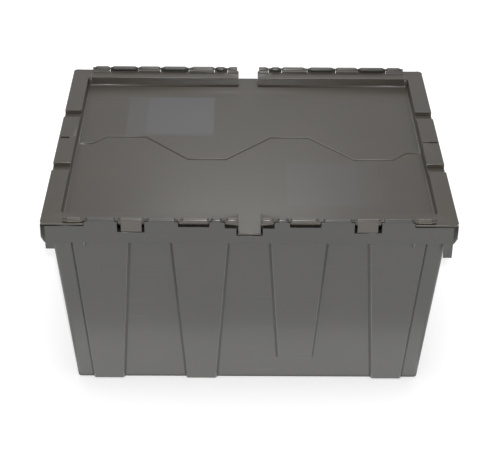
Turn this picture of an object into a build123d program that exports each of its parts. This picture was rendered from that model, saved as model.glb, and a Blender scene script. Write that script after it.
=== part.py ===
from build123d import *
import os

# Attached lid tote: one moulded tub, two half lids hinged on its long sides, and four hinge rods.
# Millimetres, +Z up, +X along the long side. The origin is on the floor under the middle of the tub.

# Tub
length = 610.0
width = 506.0
rim_top = 305.7
base_half_x = 269.2
base_half_y = 217.0
draft = 0.0783
wall = 3.0
floor_thick = 5.0
corner_radius = 6.0
foot_radius = 2.5
inner_foot_radius = 4.0
pocket_grid = (5, 4)
pocket_border = 40.0
pocket_rib = 6.0
pocket_depth = 2.0

# Rim: a plate on top of the wall with a skirt hanging from its edge
rim_radius = 8.0
rim_plate = 3.0
skirt = 3.0
skirt_bottom = 277.0
end_skirt_bottom = 263.0
end_skirt_half = 249.0
rib = 2.5
rim_rib_places = (19.0, 58.6, 104.0, 153.0, 192.5)
gusset_place = 241.0
gusset_foot = 247.0
rail_rib_places = (-160.0, -75.0, 75.0, 160.0)
rail_reach = 4.0
hook_bottom = 250.0
trim = 6.0
trim_depth = 26.0

# Pilasters on the long walls
pilaster_pitch = 146.1
pilaster_proud = 5.2
pilaster_half_foot = 22.0
pilaster_widening = 0.0691
pilaster_bevel = 3.0
pilaster_foot_rise = 1.5
short_pilaster_foot = 42.0
pilaster_top = 303.5

# Pilasters on the end walls
end_pilasters = (-110.0, 110.0)

# Hinge line
axis_inset = 4.1
axis_z = 314.0
barrel_radius = 4.1
shoulder_radius = 2.3
shoulder_cone = 4.0
rod_radius = 1.5
running_gap = 0.05
post_depth = 8.0
post_top = 310.0
shoulder_top = 313.0
shoulder_end = 312.2
link_inset = 1.0
rod_inner_end = 19.5
rod_outer_end = 265.5

# Along the hinge line, distances from the middle: (start, end)
body_barrels = ((43.5, 52.8), (110.5, 146.0), (198.0, 235.0))
lid_barrels = ((19.0, 31.0), (62.0, 96.0), (157.0, 187.0), (246.0, 264.0))
posts = ((36.2, 58.6), (104.0, 153.0), (192.5, 241.0))

# Windows in the rim's long sides: (start, end, sill height, depth from the rim's face)
windows = (
    (19.0, 36.2, 302.7, 10.0),
    (58.6, 104.0, 304.2, 10.0),
    (153.0, 192.5, 295.2, 22.0),
    (241.0, 310.0, 305.2, 6.0),
)
middle_half = 19.0
middle_sill = 290.0
window_depth = 26.0
sill_thick = 3.0
sill_depth = 14.0

# Lids
border_top = 310.0
border_bottom = 306.0
corner_lift = 0.5
panel_top = 294.5
panel_bottom = 291.5
pan_half_x = 277.5
pan_half_y = 222.5
pan_corner = 5.0
pan_fillet = 3.0
border_edge_inset = 9.6
window_edge_inset = 3.1
window_side_gap = 1.5
tongue_half = 16.5
seam_gap = 1.0
seam_chamfer = 2.0
knuckle_gap = 0.7
knuckle_foot = 7.5
apron_bottom = 296.0
apron_thick = 3.0
strip_seam = 5.0

# Notches across the lids' end strips, with the rim cut down to take them
notch = (76.0, 99.0)
notch_floor = 303.5
notch_thick = 3.0
notch_wall = 3.0
notch_gap = 0.5
seal_slot = (288.0, 302.0)
seal_slot_half = 2.5
lid_rib_depth = 6.0
lid_rib = 2.0
lid_rib_pitch = 70.0
lid_rib_rows = (-180.0, -120.0, -60.0)

half_x = length / 2
half_y = width / 2
axis_y = half_y - axis_inset


def block(x0, x1, y0, y1, z0, z1):
    """A plain box between two corners."""
    return Pos((x0 + x1) / 2, (y0 + y1) / 2, (z0 + z1) / 2) * Box(x1 - x0, y1 - y0, z1 - z0)


def four_ways(piece):
    """The piece, its mirror images in both upright planes, and the two together."""
    other_end = mirror(piece, Plane.YZ)
    return [piece, other_end, mirror(piece, Plane.XZ), mirror(other_end, Plane.XZ)]


def in_quarters(pieces):
    """Every piece of one quarter, repeated in all four."""
    found = []
    for piece in pieces:
        found += four_ways(piece)
    return found


def along_x(radius, x0, x1):
    """A round bar on the front hinge line."""
    bar = Rot(0, 90, 0) * Cylinder(radius, x1 - x0)
    return Pos((x0 + x1) / 2, -axis_y, axis_z) * bar


def knuckle(barrel, foot):
    """A hinge knuckle: a full barrel with coned shoulders that reach over the rest of its foot."""
    (x0, x1), (foot0, foot1) = barrel, foot
    outline = Polyline(
        (foot0, 0),
        (foot0, shoulder_radius),
        (max(x0 - shoulder_cone, foot0 + 0.1), shoulder_radius),
        (x0, barrel_radius),
        (x1, barrel_radius),
        (min(x1 + shoulder_cone, foot1 - 0.1), shoulder_radius),
        (foot1, shoulder_radius),
        (foot1, 0),
        close=True,
    )
    return Pos(0, -axis_y, axis_z) * revolve(make_face(outline), Axis.X)


def drafted(inset, low, high, radius):
    """The leaning walls as a solid, drawn in by inset on every side."""
    sections = []
    for z in (low, high):
        wide = 2 * (base_half_x + draft * z - inset)
        deep = 2 * (base_half_y + draft * z - inset)
        sections.append(Pos(0, 0, z) * RectangleRounded(wide, deep, radius))
    return loft(sections)


def pilaster(centre, half_span, foot, inset, top):
    """One tapering pilaster on the wall that faces -Y, or the hollow behind it when inset is set."""
    sections = []
    for z in (foot, foot + pilaster_foot_rise, top):
        half = pilaster_half_foot + pilaster_widening * z - inset
        face = half_span + draft * z - inset
        proud = pilaster_proud if z > foot else 0.2
        outer = half + pilaster_bevel
        outline = Polyline(
            (centre - outer, -face + wall),
            (centre - outer, -face),
            (centre - half, -face - proud),
            (centre + half, -face - proud),
            (centre + outer, -face),
            (centre + outer, -face + wall),
            close=True,
        )
        sections.append(Pos(0, 0, z) * make_face(outline))
    return loft(sections, ruled=True)


def long_wall_pilasters(inset, top):
    """Four pilasters on each long wall. The third one from the left of each ends above the foot."""
    found = []
    for place in (-1.5, -0.5, 0.5, 1.5):
        foot = short_pilaster_foot if place == 0.5 else 0.0
        foot += inset * 1.5
        one = pilaster(place * pilaster_pitch, base_half_y, foot, inset, top)
        found.append(one)
        found.append(Rot(0, 0, 180) * one)
    return found


def end_wall_pilasters(inset, top):
    """Two pilasters on each end wall."""
    found = []
    for centre in end_pilasters:
        one = pilaster(centre, base_half_x, inset * 1.5, inset, top)
        found.append(Rot(0, 0, 90) * one)
        found.append(Rot(0, 0, -90) * one)
    return found


def rim():
    """Rim plate with its skirt, open below."""
    height = rim_top - skirt_bottom
    outer = extrude(RectangleRounded(length, width, rim_radius), height)
    inner_size = RectangleRounded(length - 2 * skirt, width - 2 * skirt, rim_radius - skirt)
    channel = extrude(inner_size, height - rim_plate)
    return Pos(0, 0, skirt_bottom) * (outer - channel)


def rim_ribs():
    """Ribs under the rim plate that tie the skirt to the long walls."""
    found = []
    wall_y = base_half_y + draft * skirt_bottom - wall / 2
    for x in rim_rib_places:
        one = block(x, x + rib, -half_y + 1, -wall_y, skirt_bottom + 1, rim_top - 1)
        found += four_ways(one)
    gusset_top = skirt_bottom + 1
    foot_y = base_half_y + draft * gusset_foot - wall / 2
    outline = Polyline(
        (-wall_y, gusset_top + 20),
        (-half_y + 1, gusset_top + 20),
        (-half_y + 1, gusset_top),
        (-foot_y, gusset_foot),
        close=True,
    )
    gusset = extrude(Plane.YZ * make_face(outline), rib)
    found += four_ways(Pos(gusset_place, 0, 0) * gusset)
    return found


def corner_trims():
    """Wedges that slant the rim's lower edge up at its four corners."""
    outline = Polyline(
        (half_x + 1, skirt_bottom + trim + 1),
        (half_x + 1, end_skirt_bottom - 20),
        (half_x - trim, end_skirt_bottom - 20),
        (half_x - trim, skirt_bottom),
        close=True,
    )
    wedge = extrude(Plane.XZ * make_face(outline), trim_depth)
    return four_ways(Pos(0, -half_y + trim_depth - 1, 0) * wedge)


def grip_rail():
    """The deeper skirt under one end of the rim, with its ribs and its hooked corner."""
    wall_x = base_half_x + draft * end_skirt_bottom - rail_reach
    top = rim_top - 1
    rail = [block(half_x - skirt, half_x, -end_skirt_half, end_skirt_half, end_skirt_bottom, top)]
    for y in (-end_skirt_half, end_skirt_half - skirt):
        rail.append(block(wall_x, half_x - 1, y, y + skirt, end_skirt_bottom, top))
    for y in rail_rib_places:
        rail.append(block(wall_x, half_x - 1, y, y + rib, end_skirt_bottom + 4, top))
    hook = block(wall_x, half_x - skirt, -end_skirt_half, -end_skirt_half + skirt, hook_bottom, top)
    rail.append(hook)
    return rail


def front_right_posts():
    """Hinge posts and barrels of one quarter of the rim."""
    back = -half_y + post_depth
    found = []
    for x0, x1 in posts:
        found.append(block(x0, x1, -half_y, back, skirt_bottom + 5, post_top))
    for (x0, x1), (foot0, foot1) in zip(body_barrels, posts):
        outline = Polyline(
            (foot0, post_top - 1),
            (foot1, post_top - 1),
            (foot1, shoulder_end),
            (x1, shoulder_top),
            (x0, shoulder_top),
            (foot0, shoulder_end),
            close=True,
        )
        shoulder = extrude(Plane.XZ * make_face(outline), post_depth - 1)
        found.append(Pos(0, back - 1, 0) * shoulder)
        found.append(knuckle((x0, x1), (foot0, foot1)))
    return found


def window_sills():
    """Floors of the windows, so that no window opens into the channel under the rim."""
    found = []
    for x0, x1, sill, _ in windows:
        end = min(x1 + sill_thick, half_x - rim_radius)
        found.append(
            block(x0 - sill_thick, end, -half_y, -half_y + sill_depth, sill - sill_thick, rim_top)
        )
    floor = middle_sill - sill_thick
    found.append(block(0, middle_half + sill_thick, -half_y, -half_y + sill_depth, floor, rim_top))
    return found


def window_cuts():
    """The windows of one quarter of the rim, and the notches that let the lid's aprons swing in."""
    found = []
    for x0, x1, sill, depth in windows:
        found.append(block(x0, x1, -half_y - 1, -half_y + depth, sill, rim_top + 2))
    found.append(
        block(-1, middle_half, -half_y - 1, -half_y + window_depth, middle_sill, rim_top + 2)
    )
    found.append(
        block(-1, middle_half + 3.5, -half_y + 8.5, -half_y + window_depth, middle_sill, rim_top + 2)
    )
    return found


def end_notch(low, x0, x1, spread):
    """A block that spans one notch of the right end strip, spread wider on both sides."""
    return block(x0, x1, notch[0] - spread, notch[1] + spread, low, rim_top + 10)


def end_notch_sills():
    """Floors under the notches of one end of the rim."""
    top = notch_floor - notch_thick - notch_gap
    spread = notch_wall + notch_gap
    sill = block(half_x - 14, half_x - 0.5, notch[0] - spread - 3, notch[1] + spread + 3, top - 3, rim_top)
    return [sill]


def end_notch_cuts():
    """Room in the rim and the wall for the lid's notches, and the slot for a seal."""
    top = notch_floor - notch_thick - notch_gap
    spread = notch_wall + notch_gap
    return [end_notch(top, pan_half_x + 1, half_x + 1, spread)]


def seal_slots():
    """The slots at the lids' meeting line, one at each end, through lids and rim."""
    low, high = seal_slot
    right = block(low, high, -strip_seam - seal_slot_half, -strip_seam + seal_slot_half, 270, 330)
    return [right, Rot(0, 0, 180) * right]


def underside_pockets():
    """Shallow pockets that leave a grid of ribs under the floor."""
    found = []
    columns, rows = pocket_grid
    pitch_x = (2 * base_half_x - pocket_border) / columns
    pitch_y = (2 * base_half_y - pocket_border) / rows
    for column in range(columns):
        for row in range(rows):
            x = (column - (columns - 1) / 2) * pitch_x
            y = (row - (rows - 1) / 2) * pitch_y
            pocket = Box(pitch_x - pocket_rib, pitch_y - pocket_rib, 2 * pocket_depth)
            found.append(Pos(x, y, 0) * pocket)
    return found


def tote_body():
    """The whole tub as one moulding."""
    shell = drafted(0, 0, rim_top, corner_radius)
    shell = fillet(shell.edges().group_by(Axis.Z)[0], foot_radius)
    extras = long_wall_pilasters(0, pilaster_top) + end_wall_pilasters(0, pilaster_top)
    extras += rim_ribs() + in_quarters(window_sills()) + in_quarters(front_right_posts())
    extras += in_quarters(end_notch_sills())
    extras += [rim()]
    for piece in grip_rail():
        extras += [piece, Rot(0, 0, 180) * piece]
    solid = shell + extras
    inside = drafted(wall, floor_thick, rim_top + 10, corner_radius)
    inside = fillet(inside.edges().group_by(Axis.Z)[0], inner_foot_radius)
    hollows = long_wall_pilasters(wall, rim_top - 8) + end_wall_pilasters(wall, rim_top - 8)
    cuts = [inside] + hollows + in_quarters(window_cuts()) + underside_pockets()
    cuts += in_quarters(end_notch_cuts()) + seal_slots() + corner_trims()
    cuts += four_ways(along_x(rod_radius, rod_inner_end - 1, rod_outer_end + 1))
    return solid - cuts


def seam_points(shift):
    """The zigzag between the two lids, from the left strip to the right strip."""
    half = [(36.0, 36.0), (97.0, 36.0), (167.0, -36.0), (229.0, -36.0), (252.7, -13.3)]
    left = [(-x, -y) for x, y in reversed(half)]
    jog = pan_half_x + wall / 2
    ends = [(-jog, 13.3), (-jog, strip_seam), (-half_x - 5, strip_seam)]
    right_ends = [(-x, -y) for x, y in ends]
    path = list(reversed(ends)) + left + half + right_ends
    return [(x, y + shift) for x, y in path]


def lid_outline(shift):
    """Everything in front of the seam, as a flat face."""
    outline = [(-half_x - 5, -half_y - 5)] + seam_points(shift) + [(half_x + 5, -half_y - 5)]
    return make_face(Polyline(*outline, close=True))


def lid_plan(shift):
    """Everything in front of the seam, as a tall solid."""
    return extrude(lid_outline(shift), border_top + 20)


def seam_groove():
    """The slope along the panel's edge at the seam; two of them make a V."""
    low = Pos(0, 0, panel_top - seam_chamfer) * lid_outline(-seam_gap / 2)
    top = Pos(0, 0, panel_top) * lid_outline(-seam_gap / 2 - seam_chamfer)
    slope = extrude(low, seam_chamfer) - loft([low, top], ruled=True)
    reach = pan_half_x - pan_fillet
    return slope & block(-reach, reach, -half_y, half_y, panel_bottom, panel_top + 1)


def lid_border():
    """The flat border with its corners, its notches and its outer edge behind the posts."""
    corner_bottom = border_bottom + corner_lift
    plate = extrude(RectangleRounded(length, width, rim_radius), border_top - border_bottom)
    plate = Pos(0, 0, border_bottom) * plate
    edge = -half_y + border_edge_inset
    window_start = windows[-1][0] + 1
    plate -= block(-window_start, window_start, -half_y - 1, edge, 0, border_top + 1)
    lift = block(-half_x, half_x, -half_y - 1, edge + 2, border_bottom - 1, corner_bottom)
    plate -= lift
    cutter = Rot(45, 0, 0) * Box(length, 2, 2)
    plate -= Pos(0, -half_y, corner_bottom) * cutter
    return plate


def notch_solids():
    """Solid dips of the four notches, and the channels cut into them."""
    low = notch_floor - notch_thick
    dip = end_notch(low, pan_half_x, half_x, notch_wall) & block(0, half_x, 0, half_y, 0, border_top)
    channel = end_notch(notch_floor, pan_half_x - 5, half_x + 1, 0)
    return four_ways(dip), four_ways(channel)


def lid_pan():
    """The block that holds the sunk panel, and the hollow above the panel."""
    out_x = pan_half_x + wall
    out_y = pan_half_y + wall
    outer = block(-out_x, out_x, -out_y, out_y, panel_bottom, border_top)
    plan = RectangleRounded(2 * pan_half_x, 2 * pan_half_y, pan_corner)
    hollow = Pos(0, 0, panel_top) * extrude(plan, border_top - panel_top + 1)
    return outer, fillet(hollow.edges().group_by(Axis.Z)[0], pan_fillet)


def tongue():
    """The middle tongue at the panel's level, with its side walls."""
    edge = -half_y + border_edge_inset
    side = tongue_half + wall
    walls = block(-side, side, edge, -pan_half_y, panel_bottom, border_top)
    inner_end = -pan_half_y + pan_fillet + 1
    channel = block(-tongue_half, tongue_half, -half_y - 1, inner_end, panel_top, border_top + 1)
    lip = block(-tongue_half, tongue_half, -half_y, edge + 1, panel_bottom, panel_top)
    return walls, channel, lip


def lid_hinge():
    """Barrels, link arms and aprons of the lid's right half."""
    edge = -half_y + border_edge_inset
    found = []
    for (x0, x1), (foot0, foot1, _, _) in zip(lid_barrels, windows):
        found.append(block(x0, x1, -axis_y, edge + 2, border_bottom, axis_z))
        foot = (max(foot0 + knuckle_gap, x0 - knuckle_foot), min(foot1 - knuckle_gap, x1 + knuckle_foot))
        found.append(knuckle((x0, x1), foot))
        found.append(block(*foot, -axis_y - link_inset, edge + 2, border_top - 1, axis_z))
    for x0, x1, _, _ in windows[:-1]:
        outer_edge = -half_y + window_edge_inset
        start = x0 + window_side_gap if x0 > middle_half else tongue_half
        found.append(block(start, x1 - window_side_gap, outer_edge, edge + 2, border_bottom, border_top))
    x0, x1 = lid_barrels[2]
    found.append(block(x0, x1, -half_y, -half_y + apron_thick, apron_bottom, axis_z))
    return found


def lid_ribs():
    """Ribs under the panel, kept clear of the seam."""
    found = []
    low = panel_bottom - lid_rib_depth
    reach_x = pan_half_x - 12
    reach_y = pan_half_y - 2
    for step in range(-3, 4):
        x = step * lid_rib_pitch
        found.append(block(x, x + lid_rib, -reach_y, half_y, low, panel_bottom + 1))
    for y in lid_rib_rows:
        found.append(block(-reach_x, reach_x, y, y + lid_rib, low, panel_bottom + 1))
    return found


def front_lid():
    """The half lid on the front long side."""
    outer, inner = lid_pan()
    walls, channel, lip = tongue()
    keep = lid_plan(-seam_gap / 2)
    dips, channels = notch_solids()
    lid = (lid_border() + outer + walls + dips - inner - channel - channels - seal_slots() + lip) & keep
    ribs = (Part() + lid_ribs()) & lid_plan(-8.0)
    lid += ribs
    lid -= seam_groove()
    for piece in lid_hinge():
        lid += [piece, mirror(piece, Plane.YZ)]
    bore = along_x(rod_radius + running_gap, rod_inner_end - 1, rod_outer_end + 1)
    return lid - [bore, mirror(bore, Plane.YZ)]


def hinge_rod():
    """One steel rod of the front right quarter."""
    return along_x(rod_radius, rod_inner_end, rod_outer_end)


def write(shape, name):
    """Saves one sub-part."""
    export_step(shape, "parts/" + name + ".step")


os.makedirs("parts", exist_ok=True)
write(tote_body(), "tote_body")
front = front_lid()
write(front, "front_lid")
write(Rot(0, 0, 180) * front, "back_lid")
rods = four_ways(hinge_rod())
for rod, name in zip(rods, ("front_right_rod", "front_left_rod", "back_right_rod", "back_left_rod")):
    write(rod, name)
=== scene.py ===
import math

import bmesh
import bpy
from mathutils import Matrix, Vector


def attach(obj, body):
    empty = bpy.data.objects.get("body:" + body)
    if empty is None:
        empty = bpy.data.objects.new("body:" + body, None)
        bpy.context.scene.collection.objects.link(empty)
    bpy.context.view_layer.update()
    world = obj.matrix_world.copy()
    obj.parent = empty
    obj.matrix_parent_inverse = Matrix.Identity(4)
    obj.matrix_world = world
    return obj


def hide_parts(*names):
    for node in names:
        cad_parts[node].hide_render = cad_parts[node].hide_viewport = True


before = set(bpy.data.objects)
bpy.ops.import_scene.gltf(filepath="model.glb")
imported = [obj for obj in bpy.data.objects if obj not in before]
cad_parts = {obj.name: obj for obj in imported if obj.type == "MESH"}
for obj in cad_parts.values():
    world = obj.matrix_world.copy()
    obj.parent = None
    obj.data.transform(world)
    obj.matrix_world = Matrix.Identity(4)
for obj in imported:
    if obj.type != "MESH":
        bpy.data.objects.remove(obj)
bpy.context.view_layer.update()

# ---------------------------------------------------------------- sizes, in metres
EDGE_ROUND = 0.0009  # rounding of outward edges
CORNER_ROUND = 0.0012  # rounding of inside corners
SHORTEST_EDGE = 0.0045  # shorter outward edges stay sharp
SHORTEST_CORNER = 0.030  # shorter inside corners stay sharp
ROOM_SHARE = 2.1  # the flat beside a rounded edge is at least this many roundings wide
MOST_CORNERS = 50  # faces with more corners are split into triangles first
MERGE_DISTANCE = 0.00002
FLAT_ANGLE = math.radians(0.6)
SHARP_ANGLE = math.radians(24)
SMOOTH_ANGLE = math.radians(40)

# Two overlapping labels on a lid: middle and half width across, middle and half width along.
LABEL_AREAS = ((-0.1295, 0.0715, 0.110, 0.068), (-0.113, 0.055, 0.112, 0.063))
LABEL_SHARE = 0.5  # how much each of the two covers
LABEL_FRONT = 0.3  # how strong the front lid's mark is beside the back one's
LABEL_EDGE = 0.0012
LABEL_LEVELS = (0.2930, 0.2940)  # below the first height there is no label

# ---------------------------------------------------------------- looks of the plastic
GRAIN_SCALE = 900.0
RUBBED_SHARE = 0.12
# share of painted shade that darkens the rounded inside corners
CORNER_SHADE_SHARE = 0.85
LABEL_COVER = 0.80
# near-black colour of the painted shade in the inside corners
CORNER_SHADE_COLOUR = (0.014, 0.013, 0.012, 1)
LABEL_COLOUR = (0.092, 0.093, 0.100, 1)
WORN_GAIN = 1.9  # worn plastic beside its paler tone


# ---------------------------------------------------------------- shared material effects
def new_group(name, inputs, outputs):
    """An empty shader group with its sockets."""
    group = bpy.data.node_groups.new(name, "ShaderNodeTree")
    for label, kind, value in inputs:
        socket = group.interface.new_socket(label, in_out="INPUT", socket_type=kind)
        socket.default_value = value
    for label, kind in outputs:
        group.interface.new_socket(label, in_out="OUTPUT", socket_type=kind)
    entry = group.nodes.new("NodeGroupInput")
    leave = group.nodes.new("NodeGroupOutput")
    return group, entry, leave


def math_node(tree, operation, first, second):
    """One Math node; its inputs are sockets or numbers."""
    node = tree.nodes.new("ShaderNodeMath")
    node.operation = operation
    for socket, value in zip(node.inputs, (first, second)):
        if isinstance(value, (int, float)):
            socket.default_value = value
        else:
            tree.links.new(value, socket)
    return node.outputs[0]


def noise_node(tree, vector, scale, detail, roughness):
    """One Noise Texture on the given coordinates."""
    node = tree.nodes.new("ShaderNodeTexNoise")
    node.inputs["Scale"].default_value = scale
    node.inputs["Detail"].default_value = detail
    node.inputs["Roughness"].default_value = roughness
    tree.links.new(vector, node.inputs["Vector"])
    return node.outputs["Fac"]


def ramp_node(tree, value, low, high):
    """Maps low..high to 0..1."""
    node = tree.nodes.new("ShaderNodeMapRange")
    node.inputs["From Min"].default_value = low
    node.inputs["From Max"].default_value = high
    tree.links.new(value, node.inputs["Value"])
    return node.outputs["Result"]


def mix_colour(tree, factor, first, second):
    """Mixes two colours; each is a socket or a colour."""
    node = tree.nodes.new("ShaderNodeMix")
    node.data_type = "RGBA"
    tree.links.new(factor, node.inputs["Factor"])
    for socket, value in zip((node.inputs[6], node.inputs[7]), (first, second)):
        if isinstance(value, tuple):
            socket.default_value = value
        else:
            tree.links.new(value, socket)
    return node.outputs[2]


def mould_skin():
    """Shared skin of the moulded pieces: cloudy tone, fine grain and sparse scuffs."""
    inputs = [
        ("Vector", "NodeSocketVector", (0, 0, 0)),
        ("Cloud Scale", "NodeSocketFloat", 6.0),
        ("Grain Scale", "NodeSocketFloat", GRAIN_SCALE),
        ("Scuff Amount", "NodeSocketFloat", 0.5),
    ]
    outputs = [("Cloud", "NodeSocketFloat"), ("Grain", "NodeSocketFloat"), ("Scuff", "NodeSocketFloat")]
    group, entry, leave = new_group("mould_skin", inputs, outputs)
    vector = entry.outputs["Vector"]
    cloud = group.nodes.new("ShaderNodeTexNoise")
    cloud.inputs["Detail"].default_value = 5.0
    cloud.inputs["Roughness"].default_value = 0.62
    group.links.new(vector, cloud.inputs["Vector"])
    group.links.new(entry.outputs["Cloud Scale"], cloud.inputs["Scale"])
    group.links.new(ramp_node(group, cloud.outputs["Fac"], 0.20, 0.85), leave.inputs["Cloud"])
    grain = group.nodes.new("ShaderNodeTexNoise")
    grain.inputs["Detail"].default_value = 2.0
    group.links.new(vector, grain.inputs["Vector"])
    group.links.new(entry.outputs["Grain Scale"], grain.inputs["Scale"])
    group.links.new(grain.outputs["Fac"], leave.inputs["Grain"])
    stretch = group.nodes.new("ShaderNodeMapping")
    stretch.inputs["Scale"].default_value = (12.0, 900.0, 300.0)
    stretch.inputs["Rotation"].default_value = (0.0, 0.0, 0.35)
    group.links.new(vector, stretch.inputs["Vector"])
    fibres = noise_node(group, stretch.outputs["Vector"], 1.0, 2.0, 0.5)
    sparse = noise_node(group, vector, 9.0, 2.0, 0.5)
    strokes = ramp_node(group, fibres, 0.60, 0.72)
    places = ramp_node(group, sparse, 0.50, 0.66)
    scuff = math_node(group, "MULTIPLY", strokes, places)
    scuff = math_node(group, "MULTIPLY", scuff, entry.outputs["Scuff Amount"])
    group.links.new(scuff, leave.inputs["Scuff"])
    return group


def label_patch():
    """A mask of two blank rectangles, the front one fainter and half a turn round from the back one."""
    inputs = [("Vector", "NodeSocketVector", (0, 0, 0))]
    group, entry, leave = new_group("label_patch", inputs, [("Mask", "NodeSocketFloat")])
    split = group.nodes.new("ShaderNodeSeparateXYZ")
    group.links.new(entry.outputs["Vector"], split.inputs["Vector"])
    side = math_node(group, "SIGN", split.outputs["Y"], 0.0)
    across = math_node(group, "MULTIPLY", split.outputs["X"], side)
    along = math_node(group, "MULTIPLY", split.outputs["Y"], side)
    total = 0.0
    for middle_x, half_x, middle_y, half_y in LABEL_AREAS:
        area = LABEL_SHARE
        for value, middle, half in ((across, middle_x, half_x), (along, middle_y, half_y)):
            offset = math_node(group, "SUBTRACT", value, middle)
            offset = math_node(group, "ABSOLUTE", offset, 0.0)
            area = math_node(group, "MULTIPLY", ramp_node(group, offset, half + LABEL_EDGE, half), area)
        total = math_node(group, "ADD", total, area)
    fading = math_node(group, "MULTIPLY", side, (1 - LABEL_FRONT) / 2)
    fading = math_node(group, "ADD", fading, (1 + LABEL_FRONT) / 2)
    upper = ramp_node(group, split.outputs["Z"], *LABEL_LEVELS)
    fading = math_node(group, "MULTIPLY", fading, upper)
    group.links.new(math_node(group, "MULTIPLY", total, fading), leave.inputs["Mask"])
    return group


def place_group(tree, group, vector, **values):
    """Puts a shared group in a material and sets its own values."""
    node = tree.nodes.new("ShaderNodeGroup")
    node.node_tree = group
    tree.links.new(vector, node.inputs["Vector"])
    for label, value in values.items():
        node.inputs[label.replace("_", " ")].default_value = value
    return node.outputs


def plastic_surface(name, colour, pale, roughness, cloud_scale, scuffs, labels=False):
    """A moulded plastic: fine grain, cloudy colour, faint scuffs, rubbed edges and painted shade in the
    inside corners.
    """
    material = bpy.data.materials.new(name)
    material.use_nodes = True
    tree = material.node_tree
    shader = tree.nodes["Principled BSDF"]
    coords = tree.nodes.new("ShaderNodeTexCoord").outputs["Object"]
    skin = place_group(
        tree, groups["skin"], coords, Cloud_Scale=cloud_scale, Grain_Scale=GRAIN_SCALE, Scuff_Amount=scuffs
    )
    tone = mix_colour(tree, skin["Cloud"], colour, pale)
    worn = tuple(min(1.0, WORN_GAIN * c) for c in pale[:3]) + (1,)
    tone = mix_colour(tree, skin["Scuff"], tone, worn)
    edge = tree.nodes.new("ShaderNodeAttribute")
    edge.attribute_name = "rubbed"
    rubbed = math_node(tree, "MULTIPLY", edge.outputs["Fac"], RUBBED_SHARE)
    tone = mix_colour(tree, rubbed, tone, worn)
    # painted shade: the rounded inside corners are darkened towards a near-black colour
    corner = tree.nodes.new("ShaderNodeAttribute")
    corner.attribute_name = "corner_shade"
    painted_shade = math_node(tree, "MULTIPLY", corner.outputs["Fac"], CORNER_SHADE_SHARE)
    tone = mix_colour(tree, painted_shade, tone, CORNER_SHADE_COLOUR)
    rough = math_node(tree, "MULTIPLY", skin["Cloud"], 0.10)
    rough = math_node(tree, "ADD", rough, roughness)
    rough = math_node(tree, "ADD", rough, math_node(tree, "MULTIPLY", painted_shade, 0.45))
    if labels:
        mask = place_group(tree, groups["label"], coords)["Mask"]
        faint = math_node(tree, "MULTIPLY", mask, LABEL_COVER)
        tone = mix_colour(tree, faint, tone, LABEL_COLOUR)
        rough = math_node(tree, "ADD", rough, math_node(tree, "MULTIPLY", mask, 0.12))
    tree.links.new(tone, shader.inputs["Base Color"])
    tree.links.new(rough, shader.inputs["Roughness"])
    shader.inputs["Coat Weight"].default_value = 0.45
    shader.inputs["Coat Roughness"].default_value = 0.20
    bump = tree.nodes.new("ShaderNodeBump")
    bump.inputs["Strength"].default_value = 0.10
    bump.inputs["Distance"].default_value = 0.0003
    tree.links.new(skin["Grain"], bump.inputs["Height"])
    tree.links.new(bump.outputs["Normal"], shader.inputs["Normal"])
    return material


def steel_wire():
    """Drawn steel for the hinge rods, dulled and a little stained."""
    material = bpy.data.materials.new("drawn_steel")
    material.use_nodes = True
    tree = material.node_tree
    shader = tree.nodes["Principled BSDF"]
    coords = tree.nodes.new("ShaderNodeTexCoord").outputs["Object"]
    stretch = tree.nodes.new("ShaderNodeMapping")
    stretch.inputs["Scale"].default_value = (30.0, 2500.0, 2500.0)
    tree.links.new(coords, stretch.inputs["Vector"])
    drawn = noise_node(tree, stretch.outputs["Vector"], 1.0, 3.0, 0.6)
    stain = ramp_node(tree, noise_node(tree, coords, 45.0, 4.0, 0.6), 0.4, 0.7)
    tone = mix_colour(tree, stain, (0.20, 0.20, 0.205, 1), (0.12, 0.115, 0.11, 1))
    tree.links.new(tone, shader.inputs["Base Color"])
    shader.inputs["Metallic"].default_value = 1.0
    tree.links.new(ramp_node(tree, drawn, -1.2, 1.6), shader.inputs["Roughness"])
    return material


# ---------------------------------------------------------------- mesh helpers
def has_room(edge, room):
    """Whether both faces beside an edge are wide enough to round it."""
    start, end = (v.co for v in edge.verts)
    along = (end - start).normalized()
    for face in edge.link_faces:
        depths = [(v.co - start).cross(along).length for v in face.verts]
        if min((d for d in depths if d > MERGE_DISTANCE), default=0) < room:
            return False
    return True


def round_edges(mesh, outward, mark, width, shortest):
    """Rounds the sharp outward or inward edges that are long enough and have room, and marks them."""
    chosen = [
        e for e in mesh.edges
        if len(e.link_faces) == 2 and e.is_convex == outward and e.calc_length() > shortest
        and e.calc_face_angle(0) > SHARP_ANGLE and has_room(e, ROOM_SHARE * width)
    ]
    made = bmesh.ops.bevel(
        mesh, geom=chosen, offset=width, offset_type="OFFSET", segments=2, profile=0.5,
        affect="EDGES", clamp_overlap=False, material=-1,
    )
    for face in made["faces"]:
        for loop in face.loops:
            loop[mark] = 1.0


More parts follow.
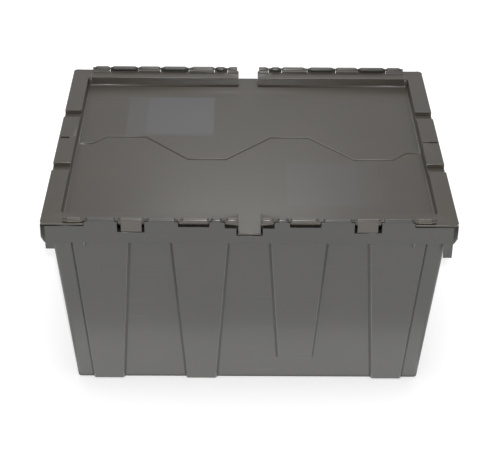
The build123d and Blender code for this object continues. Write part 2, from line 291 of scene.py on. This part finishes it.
def moulded_copy(node, name, material, body):
    """The node's own shape with its edges and inside corners rounded as a mould rounds them."""
    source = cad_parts[node]
    mesh = bmesh.new()
    mesh.from_mesh(source.data)
    bmesh.ops.remove_doubles(mesh, verts=mesh.verts, dist=MERGE_DISTANCE)
    bmesh.ops.dissolve_limit(mesh, angle_limit=FLAT_ANGLE, verts=mesh.verts, edges=mesh.edges)
    crowded = [f for f in mesh.faces if len(f.verts) > MOST_CORNERS]
    bmesh.ops.triangulate(mesh, faces=crowded, quad_method="BEAUTY", ngon_method="BEAUTY")
    # marks the rounded inside corners that get the painted shade
    corner_shade = mesh.loops.layers.float.new("corner_shade")
    rubbed = mesh.loops.layers.float.new("rubbed")
    round_edges(mesh, False, corner_shade, CORNER_ROUND, SHORTEST_CORNER)
    round_edges(mesh, True, rubbed, EDGE_ROUND, SHORTEST_EDGE)
    data = bpy.data.meshes.new(name)
    mesh.to_mesh(data)
    mesh.free()
    data.shade_smooth()
    data.set_sharp_from_angle(angle=SMOOTH_ANGLE)
    piece = bpy.data.objects.new(name, data)
    bpy.context.collection.objects.link(piece)
    data.materials.append(material)
    even = piece.modifiers.new("even_shading", "WEIGHTED_NORMAL")
    even.mode = "FACE_AREA"
    even.weight = 100
    even.keep_sharp = True
    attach(piece, body)
    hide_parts(node)
    return piece


# ---------------------------------------------------------------- stage
def camera():
    """A long lens in front of the tote, looking down on the lid."""
    place = (-0.0199, -1.9463, 1.3835)
    yaw = 0.0120
    pitch = 0.5651
    roll = 0.01175
    data = bpy.data.cameras.new("camera")
    data.sensor_width = 36.0
    data.lens = 99.57
    data.clip_end = 50.0
    view = bpy.data.objects.new("camera", data)
    bpy.context.collection.objects.link(view)
    turn = Matrix.Rotation(-yaw, 4, "Z") @ Matrix.Rotation(math.pi / 2 - pitch, 4, "X")
    turn = turn @ Matrix.Rotation(roll, 4, "Z")
    view.matrix_world = Matrix.Translation(place) @ turn
    bpy.context.scene.camera = view


def floor():
    """A plain white floor."""
    mesh = bmesh.new()
    bmesh.ops.create_grid(mesh, x_segments=1, y_segments=1, size=6.0)
    data = bpy.data.meshes.new("floor")
    mesh.to_mesh(data)
    mesh.free()
    ground = bpy.data.objects.new("floor", data)
    bpy.context.collection.objects.link(ground)
    material = bpy.data.materials.new("pale_floor")
    material.use_nodes = True
    shader = material.node_tree.nodes["Principled BSDF"]
    shader.inputs["Base Color"].default_value = (0.9, 0.9, 0.9, 1)
    shader.inputs["Roughness"].default_value = 0.9
    shader.inputs["Emission Color"].default_value = (1, 1, 1, 1)
    shader.inputs["Emission Strength"].default_value = 0.40
    data.materials.append(material)


def area_light(name, place, target, width, depth, power, seen=True):
    """A soft rectangular light that faces target."""
    data = bpy.data.lights.new(name, "AREA")
    data.shape = "RECTANGLE"
    data.size = width
    data.size_y = depth
    data.energy = power
    lamp = bpy.data.objects.new(name, data)
    bpy.context.collection.objects.link(lamp)
    lamp.location = place
    lamp.rotation_euler = (Vector(target) - Vector(place)).to_track_quat("-Z", "Y").to_euler()
    lamp.visible_camera = seen


def lights():
    """White surroundings, soft lights overhead and behind, a small front light and a low front bounce."""
    scene = bpy.context.scene
    scene.view_settings.view_transform = "Standard"
    world = bpy.data.worlds.new("studio")
    scene.world = world
    world.use_nodes = True
    world.node_tree.nodes["Background"].inputs["Color"].default_value = (1, 1, 1, 1)
    world.node_tree.nodes["Background"].inputs["Strength"].default_value = 0.46
    area_light("overhead", (0.0, 0.4, 3.0), (0, 0, 0.3), 2.0, 2.0, 34)
    area_light("behind", (0.0, 2.0, 2.2), (0, 0.0, 0.3), 0.6, 1.0, 3.4)
    area_light("flash", (0.0, -2.0, 1.50), (0, 0, 0.25), 0.05, 0.05, 19)
    area_light("floor_glow", (0.0, -0.275, 0.001), (0, -0.275, 1.0), 0.60, 0.11, 0.17, seen=False)


camera()
floor()
lights()
groups = {"skin": mould_skin(), "label": label_patch()}
tub_plastic = plastic_surface(
    "tub_plastic", (0.0350, 0.0341, 0.0318, 1), (0.0412, 0.0400, 0.0372, 1), 0.32, 7.0, 0.25
)
lid_plastic = plastic_surface(
    "lid_plastic", (0.0550, 0.0487, 0.0390, 1), (0.0655, 0.0575, 0.0458, 1), 0.27, 5.0, 0.35, labels=True
)
wire = steel_wire()
for rod in ("front_left_rod", "front_right_rod", "back_left_rod", "back_right_rod"):
    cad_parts[rod].data.materials.clear()
    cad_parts[rod].data.materials.append(wire)
tub = moulded_copy("tote_body", "tub", tub_plastic, "tote")
front = moulded_copy("front_lid", "front_half_lid", lid_plastic, "front_cover")
back = moulded_copy("back_lid", "back_half_lid", lid_plastic, "back_cover")
